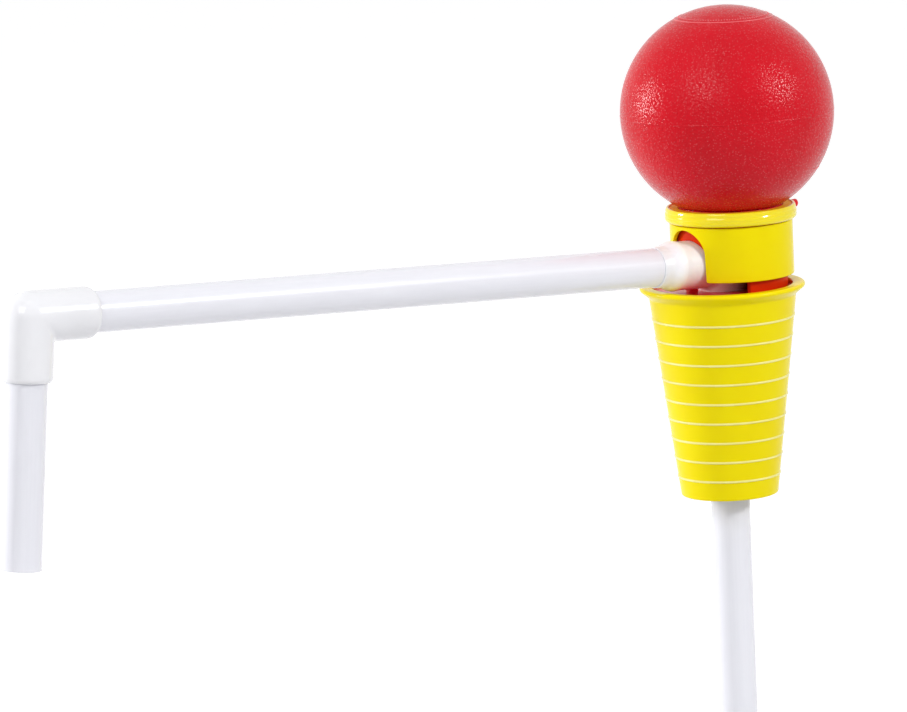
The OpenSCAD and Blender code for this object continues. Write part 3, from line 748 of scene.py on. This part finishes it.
# ---------------------------------------------------------------- collar ring
def make_collar():
    """The ring that clamps the bulb's cuff: three soft bands, and a lip with a recessed ledge."""
    wall = [(COLLAR_R - 0.9, 0.0, 0.2), (COLLAR_R - 0.3, 0.55, 0.5), (COLLAR_R - 0.05, 1.5, 0.6),
            (COLLAR_R - 0.15, 2.2, 0.4), (COLLAR_R - 0.05, 2.85, 0.5), (COLLAR_R - 0.15, 3.5, 0.5),
            (COLLAR_R - 0.43, 4.2, 0.4), (COLLAR_R - 0.38, 4.75, 0.5), (COLLAR_R - 0.55, 5.5, 0.4),
            (COLLAR_R - 0.85, COLLAR_TOP - COLLAR_Z, 0.35)]
    lip_r, neck_r, seat_r, ledge_z, seat_z = COLLAR_R - 1.8, 23.0, 26.22, 84.87, 83.93
    ledge_from = 84.8                           # the ledge's faces are higher, inside the lip
    corners = [(seat_r, COLLAR_Z, 0.1)] + [(r, COLLAR_Z + up, turn) for r, up, turn in wall]
    corners += [(lip_r, COLLAR_TOP, 0.3), (lip_r - 0.3, ledge_z, 0.2), (neck_r, ledge_z, 0.2),
                (neck_r, seat_z, 0), (seat_r, seat_z, 0)]
    section = rounded(corners, steps=5, lead=0.1)
    collar = turned("collar_band", section, steps=200, place=at_head())
    dress(collar, GLOSSY_YELLOW, "head", "yellow_plastic", "collar_ring")
    # the faces inside the lip take the ledge's painted shade
    collar.data.materials.append(LEDGE_SHADE)
    for face in collar.data.polygons:
        across = math.hypot(face.center.x - HEAD_X * MM, face.center.y)
        if face.center.z > ledge_from * MM and across < (lip_r + 0.1) * MM:
            face.material_index = 1


# ---------------------------------------------------------------- bulb, its cuff and its crown
def ball_point(height, swell=0.0):
    """(radius, z) of the ball at a height over its centre."""
    r = BALL_R + swell
    return math.sqrt(max(0.0, r * r - height * height)), BULB_Z + height


def dome_z(ball_r, r):
    """The height at radius r of a ball of ball_r about the bulb's centre."""
    return BULB_Z + math.sqrt(ball_r ** 2 - r ** 2)


def make_bulb(dots):
    """The hollow ball with its moulding seam and a short row of dots, and the cuff under it."""
    neck, wall_r, mouth_r, mouth_z, inner_foot = 22.85, BULB_R - BULB_WALL, 19.0, 85.28, 86.2
    seam_room = 0.75                            # room for the seam, over and under the centre
    low, high = -math.sqrt(BALL_R ** 2 - neck ** 2), math.sqrt(BALL_R ** 2 - CROWN_R ** 2)
    start, end = math.asin(low / BALL_R), math.asin(high / BALL_R)
    heights = [BALL_R * math.sin(start + (end - start) * k / 140) for k in range(140)]
    heights += [high - 0.03, high - 0.01, high]
    seam = [ball_point(h, s) for h, s in ((-0.6, 0), (-0.3, 0.0), (-0.14, 0.09), (0.04, 0.115),
                                          (0.22, 0.09), (0.36, 0.0), (0.65, 0.0))]
    outer = ([ball_point(h) for h in heights if h < -seam_room] + seam
             + [ball_point(h) for h in heights if h > seam_room])
    foot = math.asin((inner_foot - BULB_Z) / wall_r)
    inner = [(wall_r * math.cos(a), BULB_Z + wall_r * math.sin(a))
             for a in (end + (foot - end) * k / 40 for k in range(41))]
    ball = turned("bulb_ball", outer + inner + [(mouth_r, mouth_z)], steps=256, place=at_head())
    # the dots take a paler red: a painted highlight
    through_tree(ball, dots, material=BULB, values={
        "Dots": 7, "From": math.radians(-62.0), "Sweep": math.radians(17.0),
        "Centre": (HEAD_X * MM, 0, BULB_Z * MM), "Ball": BALL_R * MM, "Parallel": 39.5 * MM,
        "Side": -1.0, "Dot": 0.35 * MM, "Height": 0.5, "Dot material": RELIEF_HIGHLIGHT_RED})
    dress(ball, BULB, "head", "bulb_plastic", "bulb")
    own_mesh(ball)

    spigot, cuff_r, neck_r = 21.03, 26.2, 22.8
    cuff_z, cuff_top, neck_top, spigot_top = CAP_TOP + 0.01, 83.92, 85.22, 83.6
    section = rounded([(spigot, cuff_z, 0.1), (cuff_r, cuff_z, 0.35), (cuff_r, cuff_top, 0.3),
                       (neck_r, cuff_top, 0.1), (neck_r, neck_top, 0.1), (mouth_r, neck_top, 0.1),
                       (mouth_r, spigot_top, 0), (spigot, spigot_top, 0)])
    cuff = turned("bulb_cuff", section, steps=160, place=at_head())
    dress(cuff, BULB, "head", "bulb_plastic")


def make_crown(dots, rings):
    """The disc on top of the bulb, with a fine bead near its edge and a ring of dots."""
    edge, circle_r, wall_r = CROWN_R - 0.01, CROWN_R - 0.6, BULB_R - BULB_WALL
    across = [edge, edge - 0.01, edge - 0.03] + [(edge - 0.2) * (1 - k / 34) for k in range(35)]
    top = [(edge, dome_z(BALL_R - 0.3, edge))] + [(r, dome_z(BALL_R, r)) for r in across]
    under = [(r, dome_z(wall_r, r)) for r in (edge * k / 16 for k in range(17))]
    crown = turned("crown_disc", top + under, steps=256)
    # the crown's bead and dots take a paler red: a painted highlight
    through_tree(crown, rings, material=BULB, values={
        "Rings": 1, "Top": dome_z(BALL_R, circle_r) * MM,
        "Cone radius": circle_r * MM, "Slope": 0.0, "Bead": 0.20 * MM, "Proud": 0.20 * MM,
        "Ring material": RELIEF_HIGHLIGHT_RED})
    crown.data.transform(Matrix.Translation((HEAD_X * MM, 0, 0)))
    through_tree(crown, dots, {
        "Dots": 104, "From": 0.0, "Sweep": 2 * math.pi, "Centre": (HEAD_X * MM, 0, BULB_Z * MM),
        "Ball": BALL_R * MM, "Parallel": 19.6 * MM, "Side": 1.0, "Dot": 0.34 * MM, "Height": 0.6,
        "Dot material": RELIEF_HIGHLIGHT_RED})
    dress(crown, BULB, "crown", "bulb_plastic", "bulb_crown")


# ---------------------------------------------------------------- vent knob
def make_vent_knob():
    """The vent's pull knob: a stem through the collar, and a grip that widens to its end."""
    tip, stem, waist, grip_end = 16.8, 1.5, KNOB_R - 0.35, KNOB_S + KNOB_L
    outline = rounded([(0, tip, 0), (stem, tip, 0.3), (stem, KNOB_S, 0.1),
                       (waist, KNOB_S + 0.6, 0.3), (waist, KNOB_S + KNOB_L * 0.5, 0.5),
                       (KNOB_R, KNOB_S + KNOB_L * 0.6, 0.4), (KNOB_R, grip_end, 0.5),
                       (0, grip_end, 0)], closed=False)
    place = placed(Vector((HEAD_X, 0, VENT_Z)), Vector((1, 0, 0)))
    knob = turned("vent_pull_knob", outline, steps=64, place=place)
    dress(knob, RED, "vent", "red_plastic", "vent_knob")


# ---------------------------------------------------------------- spout, pipes and elbow
def make_spout():
    """The spout's bend; its ring slopes down to a thin lip around the pipe."""
    mouth = SPOUT_REACH
    arm = [(mouth - back, SPOUT_R + swell) for back, swell in (
        (0.0, -1.95), (0.03, -1.80), (0.15, -1.73), (1.2, -1.66), (2.6, -1.58), (4.0, -1.47),
        (4.8, -1.36), (5.4, -1.18), (6.0, -0.92), (6.6, -0.62), (7.2, -0.33), (7.8, -0.09),
        (8.4, 0.11), (9.0, 0.25), (9.6, 0.33), (10.1, 0.35), (10.7, 0.33), (11.4, 0.27),
        (12.2, 0.18), (13.0, 0.08), (13.7, 0.02), (14.2, 0.0), (16.5, 0.0), (22.3, 0.0))]
    foot, socket_r = SPOUT_Z - 25.2, PIPE_R + 0.04
    leg = [(foot, SPOUT_R - 0.5), (foot - 0.15, SPOUT_R - 0.15), (foot - 0.5, SPOUT_R),
           (14, SPOUT_R)]
    inner_arm = [(mouth, socket_r), (15.4, socket_r), (PIPE_STOP, WATERWAY_R), (14.8, WATERWAY_R)]
    inner_leg = [(foot, socket_r), (13.4, socket_r), (13.2, WATERWAY_R), (12.5, WATERWAY_R)]
    spout = bent_tube("spout_bend", SPOUT_CROSS, ALONG_ARM, Vector((0, 0, -1)),
                      (arm, leg), (inner_arm, inner_leg))
    dress(spout, NATURAL, "head", "natural_plastic", "spout")


def make_pipe(name, origin, direction, start, end, material, body, node, relief=(0.0, 0.0)):
    """A pipe from start to end along direction. relief is how far its first end is turned
    down, and over which length."""
    down, length = relief
    step = [(PIPE_R - down, start + length, 0), (PIPE_R, start + length, 0.1)] if down else []
    section = rounded([(PIPE_BORE, start, 0.2), (PIPE_R - down, start, 0.25), *step,
                       (PIPE_R, end, 0.25), (PIPE_BORE, end, 0.2)], steps=4)
    pipe = turned(name, section, steps=96, place=placed(origin, direction))
    dress(pipe, material, body, "pipe_plastic", node)


def make_elbow():
    """The white elbow: round outer corner, and rims that draw in to the pipes."""
    rim_l, rim_r, full_l, corner_l, bore_l = 2.6, 8.72, 3.4, 13.5, 10.2
    inlet_bore, outlet_bore = 8.56, 8.24

    def rim(length):
        """The rounded end of one arm, from its mouth back to the full width."""
        return [(length - rim_l + rim_l * math.sin(a),
                 rim_r + (ELBOW_R - rim_r) * math.cos(a) ** 0.75)
                for a in (math.pi / 2 * k / 9 for k in range(9, -1, -1))]

    arms = [rim(length) + [(length - full_l, ELBOW_R), (corner_l, ELBOW_R)]
            for length in (ELBOW_IN, ELBOW_OUT)]
    sockets = [[(length, bore), (length - ELBOW_SOCKET, bore),
                (length - ELBOW_SOCKET, WATERWAY_R), (bore_l, WATERWAY_R)]
               for length, bore in ((ELBOW_IN, inlet_bore), (ELBOW_OUT, outlet_bore))]
    elbow = bent_tube("elbow_bend", ELBOW_CROSS, -ALONG_ARM, ALONG_OUTLET, arms, sockets)
    dress(elbow, WHITE, "outlet", "white_plastic", "elbow")


RINGS, DOTS = sealing_rings_tree(), raised_dots_tree()
make_stopper(RINGS)
make_cap()
make_collar()
make_bulb(DOTS)
make_crown(DOTS, RINGS)
make_vent_knob()
make_spout()
make_pipe("discharge_tube", SPOUT_CROSS, ALONG_ARM, PIPE_STOP, ARM_L + ELBOW_SOCKET - PIPE_GAP,
          DISCHARGE_LOOK, "head", "discharge_pipe")
make_pipe("outlet_tube", ELBOW_CROSS, ALONG_OUTLET, ELBOW_OUT - ELBOW_SOCKET,
          ELBOW_OUT + OUTLET_L, OUTLET_LOOK, "outlet", "outlet_pipe", relief=(0.3, ELBOW_SOCKET))
make_pipe("riser_tube", Vector((0, 0, 0)), Vector((0, 0, 1)), -RISER_L, RISER_TOP, RISER_LOOK,
          "head", "riser_pipe")
make_elbow()

for node_name, look in (("base_disc", RED), ("base_seal", SEAL), ("spout_seal", SEAL),
                        ("valve_housing", ORANGE_RED), ("valve_plate", PLATE),
                        ("intake_valve", VALVE), ("delivery_valve", VALVE)):
    cad_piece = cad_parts[node_name]
    for material_slot in cad_piece.material_slots:
        material_slot.material = look


# ---------------------------------------------------------------- studio
def seen_directly(tree):
    """1 for camera, gloss and glass rays, 0 for those that only light the object."""
    seen = tree.nodes.new("ShaderNodeLightPath")
    straight = math_node(tree, "MAXIMUM", seen.outputs["Is Camera Ray"],
                         seen.outputs["Is Transmission Ray"])
    return math_node(tree, "MAXIMUM", straight, seen.outputs["Is Glossy Ray"])


def make_floor():
    """A pale floor that the camera sees as white, and that still takes the shadow."""
    size, height = 9.0, (-RISER_L - 1.0) * MM
    pale, glow_strength = (0.67, 0.67, 0.68, 1), 0.61
    bm = bmesh.new()
    corners = [(-size, -size, height), (size, -size, height), (size, size, height),
               (-size, size, height)]
    bm.faces.new([bm.verts.new(c) for c in corners])
    mesh = bpy.data.meshes.new("studio_floor")
    bm.to_mesh(mesh)
    bm.free()
    floor = new_object("studio_floor", mesh)
    material = bpy.data.materials.new("studio_floor_look")
    material.use_nodes = True
    tree = material.node_tree
    shader = tree.nodes["Principled BSDF"]
    shader.inputs["Base Color"].default_value = pale
    shader.inputs["Roughness"].default_value = 0.9
    glow = tree.nodes.new("ShaderNodeEmission")
    tree.links.new(math_node(tree, "MULTIPLY", seen_directly(tree), glow_strength),
                   glow.inputs["Strength"])
    both = tree.nodes.new("ShaderNodeAddShader")
    tree.links.new(shader.outputs[0], both.inputs[0])
    tree.links.new(glow.outputs[0], both.inputs[1])
    tree.links.new(both.outputs[0], tree.nodes["Material Output"].inputs["Surface"])
    mesh.materials.append(material)


def make_world():
    """Even pale light all round; what is seen directly or in gloss is white."""
    air_light = 0.50
    world = bpy.data.worlds.new("studio_air")
    bpy.context.scene.world = world
    world.use_nodes = True
    tree = world.node_tree
    background = tree.nodes["Background"]
    background.inputs["Color"].default_value = (1.0, 1.0, 1.0, 1)
    strength = math_node(tree, "MAXIMUM", seen_directly(tree), air_light)
    tree.links.new(strength, background.inputs["Strength"])


def make_softbox(name, direction, distance, width, height, power):
    """A lamp at a distance from the head; direction counts right, up and back in the picture."""
    away = RIGHT * direction[0] + UP * direction[1] + BACK * direction[2]
    light = bpy.data.lights.new(name, "AREA")
    light.shape = "RECTANGLE"
    light.size, light.size_y, light.energy = width, height, power
    lamp = new_object(name, light)
    lamp.location = HEAD + away.normalized() * distance
    lamp.rotation_euler = away.to_track_quat("Z", "Y").to_euler()


def make_camera():
    """Long lens from the front left, a little above the pump."""
    azimuth, elevation, roll = math.radians(-36.655), math.radians(9.473), math.radians(-2.575)
    distance, lens = 2.8557, 259.3
    centre_left, centre_down = 0.11746, 0.03138
    sin_a, cos_a, sin_e, cos_e = (math.sin(azimuth), math.cos(azimuth), math.sin(elevation),
                                  math.cos(elevation))
    back = Vector((sin_a * cos_e, -cos_a * cos_e, sin_e))
    level, upright = Vector((cos_a, sin_a, 0)), Vector((-sin_a * sin_e, cos_a * sin_e, cos_e))
    right = level * math.cos(roll) + upright * math.sin(roll)
    up = upright * math.cos(roll) - level * math.sin(roll)
    place = Vector((0, 0, RIM_Z * MM)) - right * centre_left - up * centre_down + back * distance
    data = bpy.data.cameras.new("studio_camera")
    data.lens, data.sensor_width, data.sensor_fit = lens, 36.0, "HORIZONTAL"
    data.clip_end = 60
    camera = new_object("studio_camera", data)
    camera.matrix_world = Matrix((
        (right.x, up.x, back.x, place.x), (right.y, up.y, back.y, place.y),
        (right.z, up.z, back.z, place.z), (0, 0, 0, 1)))
    bpy.context.scene.camera = camera
    return right, up, back


RIGHT, UP, BACK = make_camera()
make_floor()
make_world()
HEAD = Vector((HEAD_X, 0, 110)) * MM        # what the lamps face
make_softbox("left_softbox", (-0.975, 0.14, -0.17), 2.0, 0.26, 0.36, 21)
make_softbox("front_softbox", (-0.47, 0.42, 0.78), 2.4, 1.1, 1.1, 20)
make_softbox("right_softbox", (0.80, 0.39, 0.45), 2.2, 0.26, 0.30, 22)
make_softbox("top_strip", (-0.15, 0.88, 0.45), 2.0, 1.3, 0.12, 2.5)
bpy.context.scene.view_settings.view_transform = "Standard"
